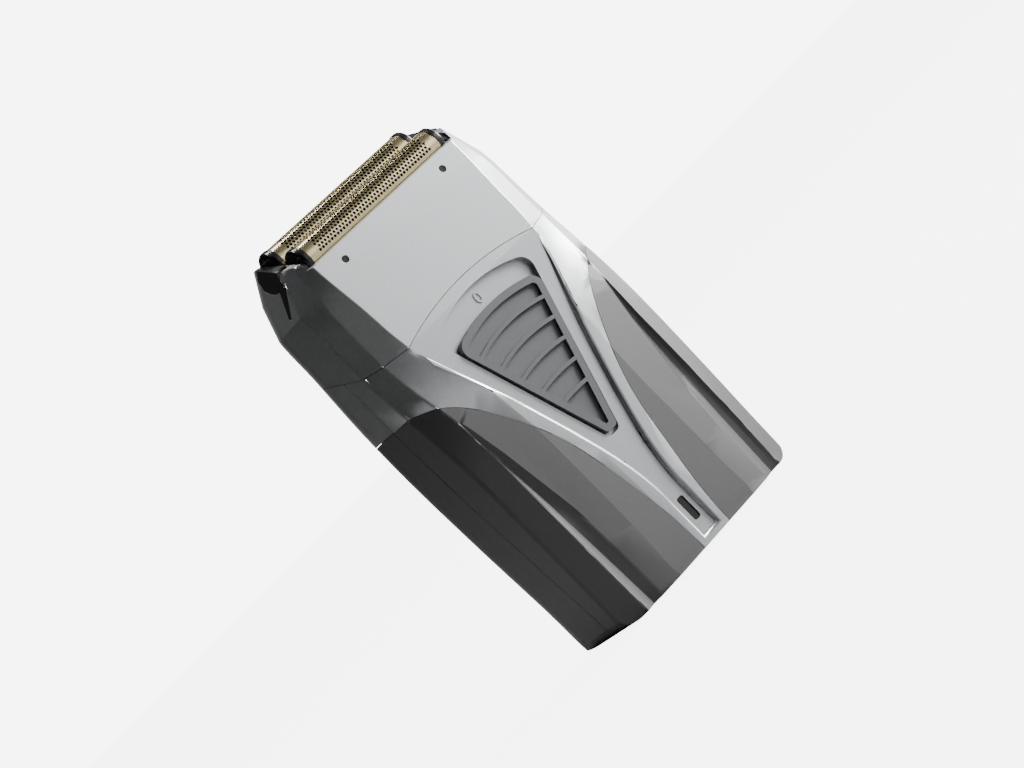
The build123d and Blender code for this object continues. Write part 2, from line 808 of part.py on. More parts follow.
# ---- cutters, their holders and springs ----
def cutter(across):
    """Row of thin arched blades on a rail, under the foil at across."""
    first = -cutter_half_length
    with BuildPart() as blades:
        planes = [head_side_at(first + i * blade_pitch, across) for i in range(blade_count)]
        with BuildSketch(*planes):
            add(foil_outline(blade_radius, -1.4))
            Circle(2.7, mode=Mode.SUBTRACT)
            with Locations((0, -1.4)):
                Rectangle(5.4, 2.8, mode=Mode.SUBTRACT)
        extrude(amount=blade_thickness)
        with BuildSketch(head_top.offset(-2.2)):
            with Locations((0, across)):
                Rectangle(2 * cutter_half_length, 7.4)
        extrude(amount=0.9)
    return blades.part


def cutter_holder(across):
    """Plastic holder under a cutter, with the blind socket for its drive post."""
    with BuildPart() as holder:
        with BuildSketch(head_top.offset(-6.5)):
            with Locations((0, across)):
                RectangleRounded(38, 5.2, 1.2)
        extrude(amount=4.3)
        with BuildSketch(head_top.offset(-6.5)):
            with Locations((0, across)):
                Circle(post_radius + 0.08)
        extrude(amount=3.5, mode=Mode.SUBTRACT)
    return holder.part


def cutter_spring(across):
    """Coil spring around a drive post, between the carrier and the cutter holder."""
    centre = head_top.from_local_coords((0, across, carrier_top + 0.3))
    with BuildPart() as spring:
        with BuildLine() as coil:
            Helix(pitch=0.9, height=2.7, radius=1.9, center=centre, direction=head_top.z_dir)
        with BuildSketch(Plane(origin=coil.line @ 0, z_dir=coil.line % 0)):
            Circle(0.22)
        sweep()
    return spring.part


with BuildPart() as front_cutter:
    add(cutter(-foil_pitch / 2))
finish(front_cutter, "front_cutter")
with BuildPart() as rear_cutter:
    add(cutter(foil_pitch / 2))
finish(rear_cutter, "rear_cutter")
with BuildPart() as front_cutter_holder:
    add(cutter_holder(-foil_pitch / 2))
finish(front_cutter_holder, "front_cutter_holder")
with BuildPart() as rear_cutter_holder:
    add(cutter_holder(foil_pitch / 2))
finish(rear_cutter_holder, "rear_cutter_holder")
with BuildPart() as front_cutter_spring:
    add(cutter_spring(-foil_pitch / 2))
finish(front_cutter_spring, "front_cutter_spring")
with BuildPart() as rear_cutter_spring:
    add(cutter_spring(foil_pitch / 2))
finish(rear_cutter_spring, "rear_cutter_spring")


# ---- foils and the frames that carry them ----
def foil(across):
    """One arched foil sheet."""
    with BuildPart() as sheet:
        with BuildSketch(head_side_at(-foil_half_length, across)):
            add(foil_outline(foil_radius, -foil_skirt))
            add(foil_outline(foil_radius - foil_thickness, -foil_skirt), mode=Mode.SUBTRACT)
        extrude(amount=2 * foil_half_length)
    return sheet.part


def foil_frame(across):
    """Two domed end caps joined by rails along the foil's lower edges, with stop tabs."""
    cap_radius = foil_radius + 0.2
    rail_outer = foil_radius + rail_thickness
    frame_bottom = -foil_skirt - 0.2
    with BuildPart() as frame:
        for start in (-cap_end, foil_half_length):
            with BuildSketch(head_side_at(start, across)):
                add(foil_outline(cap_radius, frame_bottom))
            extrude(amount=cap_end - foil_half_length)
        ends = frame.faces().sort_by(Axis.X)
        fillet((ends[0].edges() + ends[-1].edges()).filter_by(GeomType.CIRCLE), 0.7)
        for side in (-1, 1):
            with BuildSketch(head_top.offset(frame_bottom)):
                with Locations((0, across + side * (foil_radius + rail_outer) / 2)):
                    Rectangle(2 * foil_half_length + 1.0, rail_thickness)
            extrude(amount=1.2)
        for start in (-cap_end - 0.9, cap_end):
            with BuildSketch(head_side_at(start, across)):
                with Locations((0, frame_bottom + 0.5)):
                    Rectangle(3.0, 1.0)
            extrude(amount=0.9)
    return frame.part


with BuildPart() as front_foil:
    add(foil(-foil_pitch / 2))
finish(front_foil, "front_foil")
with BuildPart() as rear_foil:
    add(foil(foil_pitch / 2))
finish(rear_foil, "rear_foil")
with BuildPart() as front_foil_frame:
    add(foil_frame(-foil_pitch / 2))
finish(front_foil_frame, "front_foil_frame")
with BuildPart() as rear_foil_frame:
    add(foil_frame(foil_pitch / 2))
finish(rear_foil_frame, "rear_foil_frame")

# ---- head: cover and foil cassette share one outer form ----
shoulder_height = 1.7
cheek_gap = 0.12
pocket_floor = -7.8
ring_top = -2.8
with BuildPart() as head_form:
    add(outer)
    add(below_seam, mode=Mode.SUBTRACT)
    with BuildSketch(head_side):
        with BuildLine():
            FilletPolyline(
                (-30, -70),
                (-30, -9.0),
                (-8.4, shoulder_height),
                (9.0, shoulder_height),
                (14.5, -4.0),
                (14.5, -70),
                radius=[0, 0, 3, 5, 0, 0],
                close=True,
            )
        make_face()
    extrude(amount=50, both=True, mode=Mode.INTERSECT)
    with BuildSketch(head_end):
        with BuildLine():
            FilletPolyline(
                (-34, -70),
                (-33.2, -8.5),
                (-29.0, shoulder_height + 0.05),
                (29.0, shoulder_height + 0.05),
                (33.2, -8.5),
                (34, -70),
                radius=[0, 6, 3.2, 3.2, 6, 0],
                close=True,
            )
        make_face()
    extrude(amount=60, both=True, mode=Mode.INTERSECT)
    # notch that parts the front shoulder from the rear cheek
    for start in (-40, shoulder_inner - 0.1):
        with BuildSketch(head_side_at(start)):
            with BuildLine():
                Polyline((-4.7, 2.6), (-3.4, -0.1), (-2.1, 2.6), (-4.7, 2.6))
            make_face()
        extrude(amount=40 - shoulder_inner + 0.1, mode=Mode.SUBTRACT)


def cheek_zone(grow):
    """Side view of a cassette cheek with its tapered tail, through both sides of the head."""
    with BuildPart() as zone:
        for start in (-40, shoulder_inner - 0.1):
            with BuildSketch(head_side_at(start)):
                with BuildLine():
                    Polyline(
                        (-3.4, 4.0),
                        (-3.4, -0.2),
                        (-4.9, -1.0),
                        (-3.2, -8.2),
                        (-2.2, -8.2),
                        (-1.7, -2.4),
                        (1.0, -3.0),
                        (5.0, -2.6),
                        (7.3, -0.6),
                        (7.6, 4.0),
                        (-3.4, 4.0),
                    )
                make_face()
                if grow:
                    offset(amount=grow)
            extrude(amount=40 - shoulder_inner + 0.1)
    return zone.part


cheek_area = cheek_zone(0)
cheek_opening = cheek_zone(cheek_gap)
with BuildPart() as below_ring:
    with BuildSketch(head_top.offset(-2.4)):
        Rectangle(90, 90)
    extrude(amount=-60)
with BuildPart() as head_room:
    add(head_hollow)
    add(below_ring.part, mode=Mode.INTERSECT)
with BuildPart() as tail_room:
    add(under_grip)
    add(below_ring.part, mode=Mode.INTERSECT)

with BuildPart() as head_cover:
    add(head_form.part)
    add(head_room.part, mode=Mode.SUBTRACT)
    add(cheek_opening, mode=Mode.SUBTRACT)
    with BuildSketch(head_top.offset(pocket_floor)):
        Rectangle(2 * shoulder_inner, 2 * cassette_half_depth + 0.2)
    extrude(amount=ring_top + 0.6 - pocket_floor, mode=Mode.SUBTRACT)
    with BuildSketch(head_top.offset(-3)):
        with Locations((0, 0.55)):
            Rectangle(2 * shoulder_inner, 19.9)
    extrude(amount=12, mode=Mode.SUBTRACT)
    with BuildSketch(head_top):
        Rectangle(2 * shoulder_inner, 60)
    extrude(amount=12, mode=Mode.SUBTRACT)
    with BuildSketch(Plane.XZ.offset(9)):
        with Locations((-nub_x, nub_z), (nub_x, nub_z)):
            Circle(nub_radius + 0.1)
    extrude(amount=8, mode=Mode.SUBTRACT)
finish(head_cover, "head_cover")

with BuildPart() as foil_cassette:
    # ring under the foils
    with BuildSketch(head_top.offset(-7.5)):
        Rectangle(2 * (shoulder_inner - 0.1), 2 * cassette_half_depth)
        Rectangle(2 * (cap_end + 0.2), 2 * cassette_window_half, mode=Mode.SUBTRACT)
    extrude(amount=ring_top + 7.5)
    # end walls with the slots that stop the foil frames
    for start in (-shoulder_inner + 0.1, cap_end + 0.2):
        with BuildSketch(head_side_at(start)):
            with BuildLine():
                Polyline(
                    (-cassette_half_depth, -7.5),
                    (cassette_half_depth, -7.5),
                    (cassette_half_depth, ring_top),
                    (9.7, ring_top),
                    (9.4, 0.0),
                    (8.2, 1.3),
                    (-8.0, 1.3),
                    (-9.2, 0.0),
                    (-9.2, ring_top),
                    (-cassette_half_depth, ring_top),
                    (-cassette_half_depth, -7.5),
                )
            make_face()
        extrude(amount=shoulder_inner - 0.3 - cap_end)
        with BuildSketch(head_side_at(start)):
            with Locations((-foil_pitch / 2, -4.05), (foil_pitch / 2, -4.05)):
                Rectangle(3.5, 2.9)
        extrude(amount=shoulder_inner - 0.3 - cap_end, mode=Mode.SUBTRACT)
    with BuildSketch(Plane.XZ.offset(10.45)):
        with Locations((-nub_x, nub_z), (nub_x, nub_z)):
            Circle(nub_radius)
    extrude(amount=2.15)
    add(cheek_area & head_form.part - tail_room.part)
finish(foil_cassette, "foil_cassette")

# ---- deck that closes the handle, its seal and the two uprights that hold the head ----
deck_top = -1.5
deck_thickness = 2.0
deck_centre = (drive_y - seam_front + deck_top * seam_sin) / seam_cos
deck_front = 3.4
with BuildPart() as top_deck:
    with BuildSketch(seam_top.offset(deck_top - deck_thickness)):
        with Locations((0, deck_front + 15)):
            Rectangle(90, 30)
        with Locations((0, deck_centre)):
            RectangleRounded(26, 13, 3, mode=Mode.SUBTRACT)
    extrude(amount=deck_thickness)
    add(hollow, mode=Mode.INTERSECT)
finish(top_deck, "top_deck")

with BuildPart() as deck_seal:
    with BuildSketch(seam_top.offset(deck_top)):
        with Locations((0, deck_centre)):
            RectangleRounded(31, 17, 4)
            RectangleRounded(11.2, 6.0, 1.5, mode=Mode.SUBTRACT)
    extrude(amount=0.8)
    add(hollow, mode=Mode.INTERSECT)
finish(deck_seal, "deck_seal")

with BuildPart() as head_uprights:
    with BuildSketch(seam_top.offset(deck_top)):
        with Locations((-27.6, deck_centre - 1), (27.6, deck_centre - 1)):
            Rectangle(1.4, 7)
    extrude(amount=8.5)
    chamfer(head_uprights.edges().group_by(Axis.Z)[-1], 0.4)
finish(head_uprights, "head_uprights")
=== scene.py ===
# %% [markdown]
# # A twin-foil shaver
# The shaver's frame comes from a CAD model: shells, grips, switch, foils, cutters, motor and cell.
# Blender adds smooth shading, the perforated foils, the finishes, the light and the camera.
# Loading the frame first means that every later piece can read its place from it.

import json
import math

import bpy
from mathutils import Matrix, Vector

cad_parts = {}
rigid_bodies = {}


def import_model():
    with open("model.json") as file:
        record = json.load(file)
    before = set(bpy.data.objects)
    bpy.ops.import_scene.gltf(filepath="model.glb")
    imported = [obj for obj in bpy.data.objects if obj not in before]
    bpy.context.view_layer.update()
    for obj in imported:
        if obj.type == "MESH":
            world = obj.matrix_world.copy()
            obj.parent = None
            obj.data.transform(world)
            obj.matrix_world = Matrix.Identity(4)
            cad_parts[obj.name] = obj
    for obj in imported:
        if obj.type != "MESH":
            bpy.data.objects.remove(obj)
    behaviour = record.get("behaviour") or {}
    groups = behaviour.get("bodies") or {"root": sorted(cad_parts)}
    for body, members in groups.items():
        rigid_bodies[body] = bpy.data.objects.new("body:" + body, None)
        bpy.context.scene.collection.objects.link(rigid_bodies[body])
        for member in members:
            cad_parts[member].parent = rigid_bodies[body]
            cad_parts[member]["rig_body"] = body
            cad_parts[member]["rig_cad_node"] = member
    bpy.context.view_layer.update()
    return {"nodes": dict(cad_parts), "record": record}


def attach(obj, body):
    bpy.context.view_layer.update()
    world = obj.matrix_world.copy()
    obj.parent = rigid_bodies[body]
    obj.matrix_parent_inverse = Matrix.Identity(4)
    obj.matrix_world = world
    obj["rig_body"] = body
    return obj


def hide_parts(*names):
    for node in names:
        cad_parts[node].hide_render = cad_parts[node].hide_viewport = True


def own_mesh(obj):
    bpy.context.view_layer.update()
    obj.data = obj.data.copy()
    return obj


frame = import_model()
nodes = frame["nodes"]
MM = 0.001

# %% [markdown]
# The camera stands in front and a little to the left, level with the middle of the shaver.
# It is rolled by about 44 degrees, so that the shaver lies across the picture, foils up to the left.
# Its three axes are worked out one by one: the line back to the camera, then right and up, then the roll.

# %% Camera
YAW = 0.540765
PITCH = 0.027613
ROLL = 0.775856
DISTANCE = 631.4 * MM
LENS = 99.75
SENSOR = 36
NEAREST = 0.01
back = Vector((-math.sin(YAW) * math.cos(PITCH), -math.cos(YAW) * math.cos(PITCH), math.sin(PITCH)))
right = Vector((math.cos(YAW), -math.sin(YAW), 0))
up = right.cross(back) * -1
MIDDLE_HEIGHT = 55.9 * MM
SHIFT_RIGHT = -1.27 * MM
SHIFT_UP = -1.36 * MM
look_at = Vector((0, 0, MIDDLE_HEIGHT)) + SHIFT_RIGHT * right + SHIFT_UP * up
camera_x = math.cos(ROLL) * right - math.sin(ROLL) * up
camera_y = math.sin(ROLL) * right + math.cos(ROLL) * up
camera = bpy.data.objects.new("camera", bpy.data.cameras.new("camera"))
bpy.context.scene.collection.objects.link(camera)
camera.data.lens = LENS
camera.data.sensor_width = SENSOR
camera.data.clip_start = NEAREST
turn = Matrix((camera_x, camera_y, back)).transposed()
camera.matrix_world = Matrix.Translation(look_at + DISTANCE * back) @ turn.to_4x4()
bpy.context.scene.camera = camera
print("camera up leans", round(math.degrees(math.atan2(camera_y.z, camera_x.z))), "degrees")

# %% [markdown]
# A finish is a set of nodes that end in one Principled shader.
# One helper adds a node, sets its values and links its inputs,
# and another turns a hex colour to linear light.

# %% Helpers for finishes
def srgb(code):
    """Linear colour from an sRGB hex value."""
    parts = [int(code[i : i + 2], 16) / 255 for i in (0, 2, 4)]
    return tuple(c / 12.92 if c <= 0.04045 else ((c + 0.055) / 1.055) ** 2.4 for c in parts) + (1,)


def add_node(tree, kind, values=None, links=None, **settings):
    """Adds a node, sets its attributes and sockets, and links named inputs to other nodes' outputs."""
    node = tree.nodes.new(kind)
    for name, value in settings.items():
        setattr(node, name, value)
    for name, value in (values or {}).items():
        node.inputs[name].default_value = value
    for name, output in (links or {}).items():
        tree.links.new(output, node.inputs[name])
    return node


def new_finish(name):
    """Empty material with its Principled shader, output and Object coordinates."""
    material = bpy.data.materials.new(name)
    material.use_nodes = True
    tree = material.node_tree
    tree.nodes.clear()
    shader = add_node(tree, "ShaderNodeBsdfPrincipled")
    add_node(tree, "ShaderNodeOutputMaterial", links={"Surface": shader.outputs["BSDF"]})
    place = add_node(tree, "ShaderNodeTexCoord").outputs["Object"]
    return material, tree, shader, place


def set_shader(shader, **values):
    """Sets constant sockets of a Principled shader; underscores stand for spaces."""
    for name, value in values.items():
        shader.inputs[name.replace("_", " ")].default_value = value


def grain(tree, shader, place, size_mm, dark, light, bump, roughness):
    """Fine grain: colour and roughness each between two values, and a bump of its own depth in mm."""
    noise = add_node(
        tree, "ShaderNodeTexNoise", {"Scale": 1 / (size_mm * MM), "Detail": 2.0}, {"Vector": place}
    )
    tone = add_node(tree, "ShaderNodeMix", {}, {"Factor": noise.outputs["Fac"]}, data_type="RGBA")
    tone.inputs[6].default_value = srgb(dark)
    tone.inputs[7].default_value = srgb(light)
    tree.links.new(tone.outputs[2], shader.inputs["Base Color"])
    rough = add_node(
        tree,
        "ShaderNodeMapRange",
        {"To Min": roughness[0], "To Max": roughness[1]},
        {"Value": noise.outputs["Fac"]},
    )
    tree.links.new(rough.outputs["Result"], shader.inputs["Roughness"])
    relief = add_node(
        tree,
        "ShaderNodeBump",
        {"Strength": 1.0, "Distance": bump * MM},
        {"Height": noise.outputs["Fac"]},
    )
    tree.links.new(relief.outputs["Normal"], shader.inputs["Normal"])


# %% [markdown]
# The shells are moulded plastic with a fine metallic silver paint. The flakes are smaller than can show,
# so the grain is drawn at 0.25 mm, just coarse enough to break up the reflection.
# The grips are soft-touch rubber: dark, even, with a broad dull sheen.

# %% Finishes of the shells, grips and trims
silver, tree, shader, place = new_finish("silver_metallic_paint")
grain(tree, shader, place, 0.25, "a2a4a6", "bec0c2", 0.002, (0.30, 0.38))
set_shader(shader, Metallic=0.85, Coat_Weight=0.15, Coat_Roughness=0.25)

soft_grip, tree, shader, place = new_finish("soft_touch_grip_rubber")
grain(tree, shader, place, 0.30, "2c2c2e", "363638", 0.006, (0.36, 0.44))
set_shader(shader, IOR=1.6, Specular_IOR_Level=0.9)

black_moulded, tree, shader, place = new_finish("black_moulded_abs")
grain(tree, shader, place, 0.60, "0b0b0c", "121214", 0.002, (0.20, 0.28))
set_shader(shader, IOR=1.53)

grey_moulded, tree, shader, place = new_finish("grey_moulded_abs_slide")
grain(tree, shader, place, 0.35, "4a4b4d", "545557", 0.004, (0.40, 0.50))
set_shader(shader, IOR=1.53)

inner_moulded, tree, shader, place = new_finish("dark_moulded_nylon")
grain(tree, shader, place, 0.50, "26272a", "303134", 0.004, (0.45, 0.60))

acetal, tree, shader, place = new_finish("natural_acetal")
grain(tree, shader, place, 0.80, "dcdcd4", "e8e8e2", 0.002, (0.30, 0.38))
set_shader(shader, IOR=1.48, Subsurface_Weight=0.1)

seal_rubber, tree, shader, place = new_finish("seal_rubber")
grain(tree, shader, place, 0.40, "0d0d0d", "161616", 0.006, (0.6, 0.75))
print("finishes so far:", len(bpy.data.materials))

# %% [markdown]
# The foils are thin steel with a gold-coloured hard coat, polished by the rolling that made the sheet.
# Ground steel blades, plated screws and the motor's steel have a fine brushed grain along one direction.

# %% Finishes of the metals
gold_foil, tree, shader, place = new_finish("gold_coated_foil_steel")
grain(tree, shader, place, 0.50, "e6d39c", "f3e6bd", 0.0008, (0.18, 0.26))
set_shader(shader, Metallic=1.0)


def brushed(name, dark, light, roughness, stretch):
    """Brushed metal whose grain is drawn out along the directions with a small stretch."""
    material, tree, shader, place = new_finish(name)
    lengthened = add_node(tree, "ShaderNodeMapping", {"Scale": stretch}, {"Vector": place})
    grain(tree, shader, lengthened.outputs["Vector"], 0.2, dark, light, 0.001, roughness)
    set_shader(shader, Metallic=1.0)
    return material


blade_steel = brushed("ground_blade_steel", "3a3a3c", "505052", (0.35, 0.5), (1, 1, 0.1))
screw_steel = brushed("black_zinc_screw_steel", "3c3d3f", "55565a", (0.35, 0.5), (1, 0.1, 1))
motor_steel = brushed("plated_motor_steel", "a2a3a4", "b8b9ba", (0.3, 0.42), (0.1, 0.1, 1))
nickel = brushed("nickel_plated_contact", "b3b0a8", "c9c6bd", (0.2, 0.3), (0.1, 1, 1))
brass = brushed("tinned_brass_tag", "b39a5c", "c9b274", (0.25, 0.35), (1, 1, 0.1))
copper = brushed("enamelled_copper_winding", "8a4522", "b8623a", (0.3, 0.45), (1, 1, 0.2))
print("finishes so far:", len(bpy.data.materials))

# %% [markdown]
# The light slot has a smoked clear lens. The board is green glass-fibre laminate with black chips,
# the cell has a shrunk plastic jacket, and the magnets are sintered ferrite.

# %% Finishes of the electrical pieces
lens, tree, shader, place = new_finish("smoked_lens_acrylic")
grain(tree, shader, place, 1.0, "120c0e", "1a1214", 0.0005, (0.05, 0.12))
set_shader(shader, IOR=1.49, Coat_Weight=0.4, Coat_Roughness=0.05)

led_resin, tree, shader, place = new_finish("clear_epoxy_led")
grain(tree, shader, place, 0.8, "d8d4c4", "e8e4d6", 0.0005, (0.1, 0.2))

laminate, tree, shader, place = new_finish("glass_fibre_laminate")
grain(tree, shader, place, 0.5, "1d5c33", "256b3d", 0.002, (0.3, 0.4))

chip_resin, tree, shader, place = new_finish("black_chip_resin")
grain(tree, shader, place, 0.2, "161617", "222224", 0.002, (0.5, 0.65))

cell_jacket, tree, shader, place = new_finish("shrunk_pvc_cell_jacket")
grain(tree, shader, place, 1.5, "24508a", "2b5b9a", 0.003, (0.25, 0.35))

ferrite, tree, shader, place = new_finish("sintered_ferrite")
grain(tree, shader, place, 0.3, "242426", "343437", 0.004, (0.6, 0.75))
print("finishes:", len(bpy.data.materials))

# %% [markdown]
# The record names a material slot for every CAD node. Each slot gets one of the finishes above,
# so that pieces made of the same stuff look the same, inside the handle as well as outside.

# %% Each CAD node's finish
FINISH_OF_SLOT = {
    "silver_paint": silver,
    "black_grip": soft_grip,
    "black_plastic": black_moulded,
    "gold_foil": gold_foil,
    "cutter_steel": blade_steel,
    "inner_plastic": inner_moulded,
    "white_acetal": acetal,
    "spring_steel": blade_steel,
    "seal_rubber": seal_rubber,
    "screw_steel": screw_steel,
    "smoked_lens": lens,
    "led_resin": led_resin,
    "board_laminate": laminate,
    "chip_resin": chip_resin,
    "grey_button": grey_moulded,
    "contact_nickel": nickel,
    "cell_jacket": cell_jacket,
    "motor_steel": motor_steel,
    "magnet_ferrite": ferrite,
    "contact_brass": brass,
    "copper_winding": copper,
}
slot_of_node = {part["node"]: part["material_slot"] for part in frame["record"]["subparts"]}
for name, node in nodes.items():
    node.data.materials.clear()
    node.data.materials.append(FINISH_OF_SLOT[slot_of_node[name]])
print("nodes with a finish:", len(nodes))

# %% [markdown]
# The CAD meshes are loose triangles, so light breaks at every facet. Each outer piece gets a smooth copy:
# its loose corners are merged, nearly flat neighbours are dissolved into larger faces,
# and then only edges sharper than a set angle stay hard. Fewer, larger faces give cleaner shading.
# The copy rides on the same body and stands for the CAD node.

# %% Bodies and selecting
body_of_node = {
    name: body for body, names in frame["record"]["behaviour"]["bodies"].items() for name in names
}
MERGE = 0.002 * MM


def select_only(piece):
    """Makes piece the only selected and the active object."""
    bpy.ops.object.select_all(action="DESELECT")
    piece.select_set(True)
    bpy.context.view_layer.objects.active = piece


print("bodies:", sorted(set(body_of_node.values())))

# %% [markdown]
# The rim of the Y channel down the front is moulded soft, and the light that runs along it is
# what draws the Y. A bevel rounds it over. The edges to bevel are found by their place:
# they lie along the rim, between a face that looks forwards and a wall that doesn't.

# %% Measures of the channel's rim
# The right wall's rim in mm, as (x, z) points from its top down; the left one is its mirror.
CHANNEL_RIM = [
    (25.6, 82),
    (20.4, 71),
    (15.7, 60.4),
    (11.1, 48.5),
    (6.8, 36),
    (4.5, 27.5),
    (2.8, 19.8),
    (2.35, 12),
    (2.35, 2.2),
]
RIM_FRONT = -14.6
RIM_NEAR = 0.6
FOOT_NEAR = 0.05
FOOT_HALF_WIDTH = 2.4
HEIGHT_SLACK = 0.01
OFF_THE_RIM = 1000
FACING_FRONT = -0.8
FACING_ASIDE = -0.4
RIM_SOFTENING = 0.9 * MM
RIM_SEGMENTS = 3


def rim_x(height):
    """Half width of the channel at a height, both in mm."""
    for (high_x, high), (low_x, low) in zip(CHANNEL_RIM, CHANNEL_RIM[1:]):
        if low - HEIGHT_SLACK <= height <= high:
            return low_x + (high_x - low_x) * (height - low) / (high - low)
    return OFF_THE_RIM


def on_rim(ends):
    """Whether both ends of an edge, in mm, lie on the channel's rim."""
    foot = CHANNEL_RIM[-1][1]
    on_side = all(abs(abs(end.x) - rim_x(end.z)) < RIM_NEAR for end in ends)
    on_foot = all(abs(end.z - foot) < FOOT_NEAR and abs(end.x) < FOOT_HALF_WIDTH for end in ends)
    return (on_side or on_foot) and all(end.y < RIM_FRONT for end in ends)


print("channel half width at 30 mm:", round(rim_x(30), 2), "mm")

# %% [markdown]
# Mesh data takes a selection in object mode, and the bevel operator works in edit mode,
# so the function goes into edit mode to clear the selection, out to pick edges, and back in to bevel.

# %% Rounding the rim and copying smooth
DISSOLVE_ANGLE = 1.2
LARGE_FACES_LEAD = 100


def soften_channel(piece):
    """Rounds over the rim of the front shell's Y channel."""
    mesh = piece.data
    select_only(piece)
    bpy.ops.object.mode_set(mode="EDIT")
    bpy.ops.mesh.select_mode(type="EDGE")
    bpy.ops.mesh.select_all(action="DESELECT")
    bpy.ops.object.mode_set(mode="OBJECT")
    sides = {}
    for face in mesh.polygons:
        for key in face.edge_keys:
            sides.setdefault(key, []).append(face.normal.y)
    picked = 0
    for edge in mesh.edges:
        facing = sides.get(tuple(sorted(edge.vertices)), [])
        turns = len(facing) == 2 and min(facing) < FACING_FRONT and max(facing) > FACING_ASIDE
        if turns and on_rim([mesh.vertices[i].co / MM for i in edge.vertices]):
            edge.select = True
            picked += 1
    bpy.ops.object.mode_set(mode="EDIT")
    bpy.ops.mesh.bevel(
        offset=RIM_SOFTENING, segments=RIM_SEGMENTS, affect="EDGES", clamp_overlap=False
    )
    bpy.ops.object.mode_set(mode="OBJECT")
    print("channel rim edges rounded over:", picked)


def smooth_copy(name, hard_angle):
    """Merged and smooth-shaded copy of a CAD node, which it stands for."""
    piece = nodes[name].copy()
    piece.data = nodes[name].data.copy()
    piece.name = name + "_skin"
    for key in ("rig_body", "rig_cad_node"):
        if key in piece:
            del piece[key]
    piece.parent = None
    bpy.context.scene.collection.objects.link(piece)
    select_only(piece)
    bpy.ops.object.mode_set(mode="EDIT")
    bpy.ops.mesh.select_all(action="SELECT")
    bpy.ops.mesh.remove_doubles(threshold=MERGE)
    bpy.ops.mesh.dissolve_limited(angle_limit=math.radians(DISSOLVE_ANGLE))
    bpy.ops.object.mode_set(mode="OBJECT")
    if name == "front_shell":
        soften_channel(piece)
    bpy.ops.object.shade_smooth_by_angle(angle=math.radians(hard_angle))
    even = piece.modifiers.new("even_shading", "WEIGHTED_NORMAL")
    even.keep_sharp = True
    even.weight = LARGE_FACES_LEAD
    bpy.ops.object.modifier_apply(modifier=even.name)
    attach(piece, body_of_node[name])
    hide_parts(name)
    return piece


print("edges harder than", DISSOLVE_ANGLE, "degrees survive the dissolve")

# %% [markdown]
# The shells, the grips and the slide keep edges of more than 24 degrees hard. The black frames round
# the foils are small and turn in larger steps, so theirs start at 30.

# %% Smooth copies of the outer pieces
HARD_ANGLES = {
    "front_shell": 24,
    "rear_shell": 24,
    "head_cover": 24,
    "grip_left": 24,
    "grip_right": 24,
    "rear_grip": 24,
    "foil_cassette": 30,
    "front_foil_frame": 30,
    "rear_foil_frame": 30,
    "switch_button": 24,
}
skins = {name: smooth_copy(name, angle) for name, angle in HARD_ANGLES.items()}
for name, piece in skins.items():
    print(name, len(piece.data.vertices), "points after merging,", len(nodes[name].data.vertices), "before")

# %% [markdown]
# A real foil is a rolled strip with hundreds of small round holes in staggered rows, bent into an arch.
# One cell with its hole is made once and repeated flat, half a cell along in every other row.
# The flat sheet is then wrapped round the arch and gets its thickness. Straight skirts stay unperforated.

# %% Measures of the perforated foil
HOLE_PITCH = 1.0 * MM
ROW_PITCH = 0.866 * MM
HOLE_RADIUS = 0.37 * MM
HOLES_IN_ROW = 39
HOLE_ROWS = 13
ARCH_RADIUS = 4.1 * MM
ARCH_SPACING = 10 * MM
SHEET = 0.12 * MM
FOIL_HALF = 22.2 * MM
SKIRT = 3.6 * MM
RIM_POINTS = 12
TILT = math.radians(24)
FOIL_ORIGIN = Vector((0, -2.83 * MM, 107.13 * MM))
BACKWARDS = Vector((0, math.cos(TILT), math.sin(TILT)))
OUTWARDS = Vector((0, -math.sin(TILT), math.cos(TILT)))
quarter_arc = math.pi * ARCH_RADIUS / 2
holes_edge = HOLE_ROWS * ROW_PITCH / 2
print("holes in one foil:", HOLES_IN_ROW * HOLE_ROWS, "arch half length in mm:", round(quarter_arc / MM, 2))

# %% [markdown]
# A hole's cell is a ring of quads between the hole's rim and the cell's outline, twelve of each.
# Neighbouring cells share their outline's points, so that merging the points later joins them.
# The plain margins join on at their corners.

# %% A flat perforated sheet
SKIRT_STEPS = 3


def cell_outline(half_x, half_y):
    """Twelve points round a cell, each facing one point of its hole's rim."""
    return [
        (half_x, 0),
        (half_x, half_y),
        (half_x / 2, half_y),
        (0, half_y),
        (-half_x / 2, half_y),
        (-half_x, half_y),
        (-half_x, 0),
        (-half_x, -half_y),
        (-half_x / 2, -half_y),
        (0, -half_y),
        (half_x / 2, -half_y),
        (half_x, -half_y),
    ]


def flat_sheet():
    """Points and faces of the flat foil: x along the arch's axis, y round the arch."""
    points, faces = [], []
    outline = cell_outline(HOLE_PITCH / 2, ROW_PITCH / 2)
    for row in range(HOLE_ROWS):
        middle_y = (row - (HOLE_ROWS - 1) / 2) * ROW_PITCH
        shifted = row % 2
        count = HOLES_IN_ROW - shifted
        for column in range(count):
            middle_x = (column - (count - 1) / 2) * HOLE_PITCH
            first = len(points)
            for corner_x, corner_y in outline:
                angle = math.atan2(corner_y, corner_x)
                points.append((middle_x + corner_x, middle_y + corner_y))
                points.append(
                    (middle_x + HOLE_RADIUS * math.cos(angle), middle_y + HOLE_RADIUS * math.sin(angle))
                )
            for i in range(RIM_POINTS):
                j = (i + 1) % RIM_POINTS
                faces.append((first + 2 * i, first + 2 * j, first + 2 * j + 1, first + 2 * i + 1))
        row_end = count * HOLE_PITCH / 2
        add_row_ends(points, faces, middle_y, row_end)
    add_skirts(points, faces)
    return points, faces


